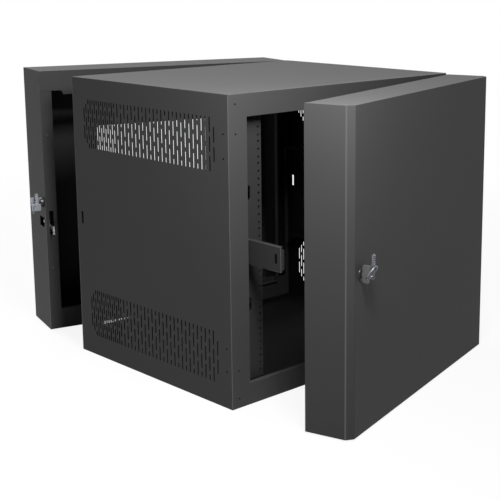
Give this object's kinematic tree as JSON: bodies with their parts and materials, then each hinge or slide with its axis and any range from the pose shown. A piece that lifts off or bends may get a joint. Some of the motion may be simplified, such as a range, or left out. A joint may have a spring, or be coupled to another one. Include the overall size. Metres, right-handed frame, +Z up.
{
  "type": "wall mount network cabinet",
  "caption": "Swing-out wall cabinet for rack equipment: wall section, hinged vented body with rack rails, and a deep locking door.",
  "frame": {"origin": "middle of the back plate in the plane of the wall face", "axes": "+Z up, +Y into the wall, -Y out towards the door, +X to the right seen from the front"},
  "size_m": [0.8738, 1.0802, 0.634],
  "materials": {
    "powder_coat": "fine textured black powder coat, satin",
    "zinc": "bright zinc plate",
    "nickel": "nickel-plated brass keys",
    "rubber": "moulded rubber buffers"
  },
  "bodies": {
    "wall_section": {"wall_back_plate": "powder_coat", "wall_bottom": "powder_coat", "wall_left_side": "powder_coat", "wall_lock_cylinder": "zinc", "wall_lock_nut": "zinc", "wall_right_side": "powder_coat", "wall_top": "powder_coat", "buffer_pads": "rubber", "latch_bracket": "zinc", "latch_pin": "zinc", "swing_hinge_pin_leaves": "powder_coat"},
    "cabinet": {"bottom_panel": "powder_coat", "door_hinge_pin_leaves": "powder_coat", "door_keeper": "powder_coat", "front_bottom_rim": "powder_coat", "front_left_post": "powder_coat", "front_right_post": "powder_coat", "front_top_rim": "powder_coat", "left_lacing_bar": "powder_coat", "left_rack_rail": "powder_coat", "left_rail_supports": "powder_coat", "left_side_wall": "powder_coat", "rear_bottom_rim": "powder_coat", "rear_left_post": "powder_coat", "rear_right_post": "powder_coat", "rear_top_rim": "powder_coat", "right_lacing_bar": "powder_coat", "right_rack_rail": "powder_coat", "right_rail_supports": "powder_coat", "right_side_wall": "powder_coat", "swing_hinge_hung_leaves": "powder_coat", "top_panel": "powder_coat"},
    "door": {"door_skin": "powder_coat", "door_top": "powder_coat", "door_bottom": "powder_coat", "door_stiffener": "powder_coat", "door_lock_cylinder": "zinc", "door_lock_case": "zinc", "door_hinge_hung_leaves": "powder_coat"},
    "latch": {"latch_hook": "zinc"},
    "wall_key_plug": {"wall_key": "nickel", "wall_key_ring": "nickel", "wall_lock_plug": "zinc", "wall_spare_key": "nickel"},
    "door_key_plug": {"door_key": "nickel", "door_key_ring": "nickel", "door_lock_plug": "zinc", "door_spare_key": "nickel"},
    "bolt": {"door_bolt": "zinc"}
  },
  "joints": [
    {"name": "body_swing", "type": "hinge", "parent": "wall_section", "child": "cabinet", "pos_m": [0.334, -0.1335, 0], "axis": [0, 0, 1], "range_deg": [-15.2, 90]},
    {"name": "door_swing", "type": "hinge", "parent": "cabinet", "child": "door", "pos_m": [0.4748, -0.65171, 0], "axis": [0, 0, 1], "range_deg": [-15.7, 150]},
    {"name": "latch_turn", "type": "hinge", "parent": "wall_section", "child": "latch", "pos_m": [-0.3168, -0.1025, -0.05], "axis": [1, 0, 0], "range_deg": [0, 19.1]},
    {"name": "wall_key_turn", "type": "hinge", "parent": "wall_section", "child": "wall_key_plug", "pos_m": [-0.3285, -0.112, 0], "axis": [-1, 0, 0], "range_deg": [0, 90]},
    {"name": "door_key_turn", "type": "hinge", "parent": "door", "child": "door_key_plug", "pos_m": [-0.01074, -1.05943, 0], "axis": [0.5135, -0.8581, 0], "range_deg": [0, 90]},
    {"name": "bolt_slide", "type": "slide", "parent": "door", "child": "bolt", "axis": [0.8581, 0.5135, 0], "range_m": [0, 0.01]}
  ],
  "couplings": [
    {"joint": "latch_turn", "follows": "wall_key_turn", "ratio": 0.21222},
    {"joint": "bolt_slide", "follows": "door_key_turn", "m_per_rad": 0.0063662}
  ]
}
